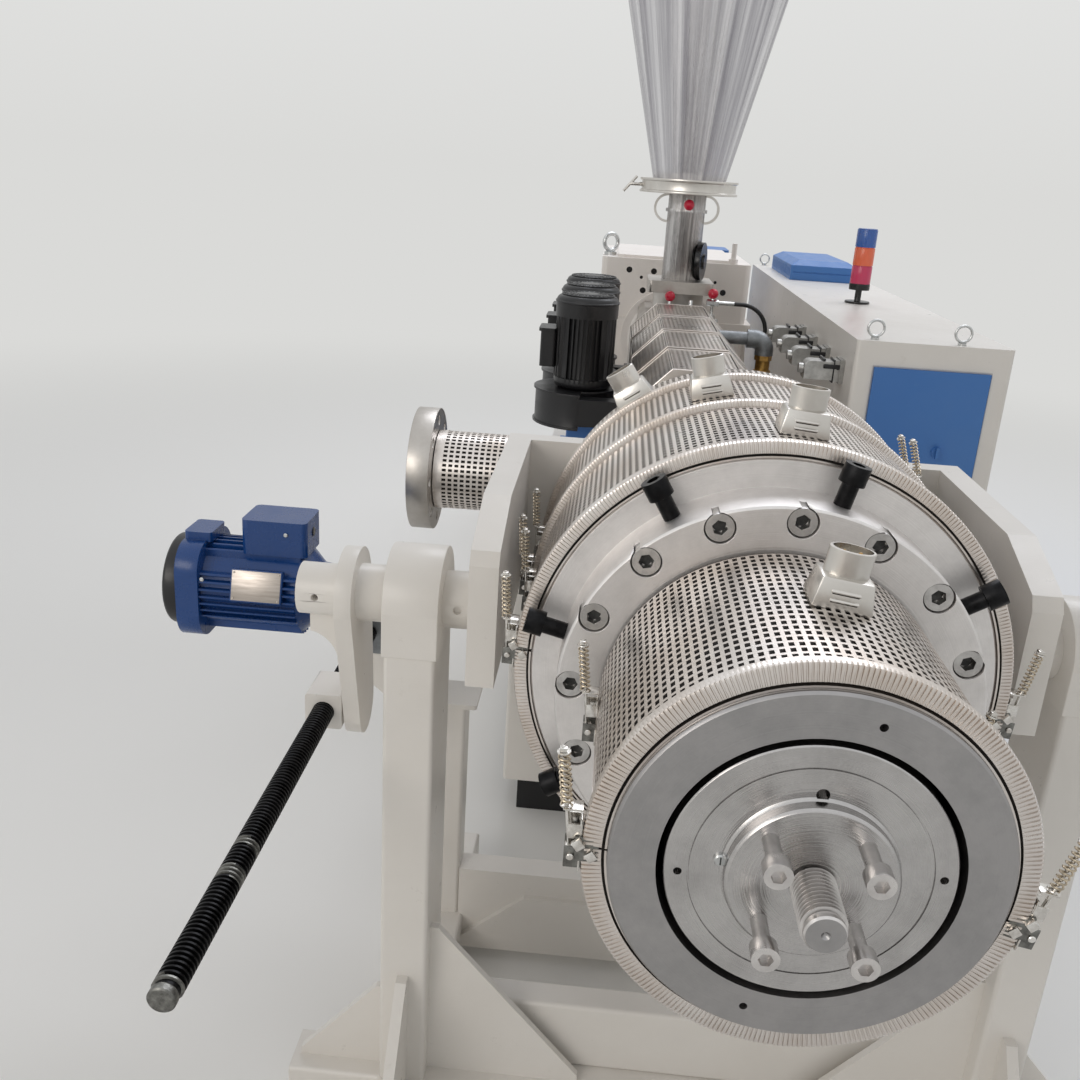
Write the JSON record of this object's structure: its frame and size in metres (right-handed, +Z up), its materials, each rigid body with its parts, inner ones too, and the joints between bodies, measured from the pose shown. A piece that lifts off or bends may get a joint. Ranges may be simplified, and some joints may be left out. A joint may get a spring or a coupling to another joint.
{
  "type": "plastic pipe extruder",
  "caption": "Plastic pipe extruder: barrel, hopper and control cabinet on a long bed, with a heated pipe die head on a tilting trolley.",
  "frame": {"origin": "on the floor, below the joint of the barrel and the die adapter, in the machine's middle plane", "axes": "+X to the right seen from the die end, +Y along the barrel from the die towards the drive motor, +Z up"},
  "size_m": [2.037, 5.815, 3.258],
  "materials": {
    "black_oxide": "black oxide steel",
    "black_paint": "satin black paint",
    "blue_paint": "semi-gloss blue paint",
    "brass": "cast brass",
    "cast_cream": "cream painted casting",
    "cream_paint": "semi-gloss cream paint",
    "gear_blue": "gloss blue paint",
    "grey_metal": "cast grey aluminium",
    "ground_steel": "flat ground steel",
    "guard_yellow": "yellow paint",
    "hose_rubber": "black hose rubber",
    "polished_stainless": "polished stainless sheet",
    "signal_red": "red lens",
    "stainless_cover": "perforated stainless sheet",
    "turned_steel": "turned and ground steel"
  },
  "bodies": {
    "root": {"trolley_base": "cream_paint", "trolley_posts": "cream_paint", "bearing_blocks": "cream_paint", "tilt_shafts": "cream_paint", "yoke": "cream_paint", "lever_arm": "cream_paint", "jack_nut": "cream_paint", "jack_screw": "black_oxide", "jack_gearbox": "grey_metal", "jack_bracket": "cream_paint", "jack_motor": "gear_blue", "jack_fan_cover": "black_paint", "die_adapter": "ground_steel", "die_body": "ground_steel", "body_bands": "stainless_cover", "retaining_ring": "ground_steel", "ring_screws": "turned_steel", "centring_screws": "black_oxide", "die_bush": "turned_steel", "bush_band": "stainless_cover", "mandrel": "turned_steel", "mandrel_screws": "polished_stainless", "draw_stud": "turned_steel", "heater_plugs": "stainless_cover", "inlet_tube": "stainless_cover", "inlet_flange": "ground_steel", "barrel": "turned_steel", "zone_covers": "stainless_cover", "barrel_stands": "cream_paint", "blower_housings": "black_paint", "blower_motors": "black_paint", "blower_stands": "blue_paint", "vent_pipe": "grey_metal", "vent_valve": "brass", "feed_block": "ground_steel", "feed_valves": "grey_metal", "valve_knobs": "signal_red", "air_hose": "hose_rubber", "feed_pipe": "polished_stainless", "port_cover": "black_paint", "slide_gate": "polished_stainless", "clamp_arms": "polished_stainless", "hopper_cone": "polished_stainless", "hopper_drum": "polished_stainless", "hopper_lid": "polished_stainless", "gearbox": "cast_cream", "lifting_eye": "turned_steel", "coupling_guard": "guard_yellow", "main_motor": "blue_paint", "motor_feet": "blue_paint", "bed": "cream_paint", "plinth": "black_paint", "cabinet": "cream_paint", "front_panel": "blue_paint", "side_doors": "blue_paint", "heater_sockets": "grey_metal", "roof_hood": "blue_paint", "signal_tower": "black_paint", "tower_lamps": "signal_red", "cabinet_eyes": "polished_stainless"}
  },
  "joints": []
}
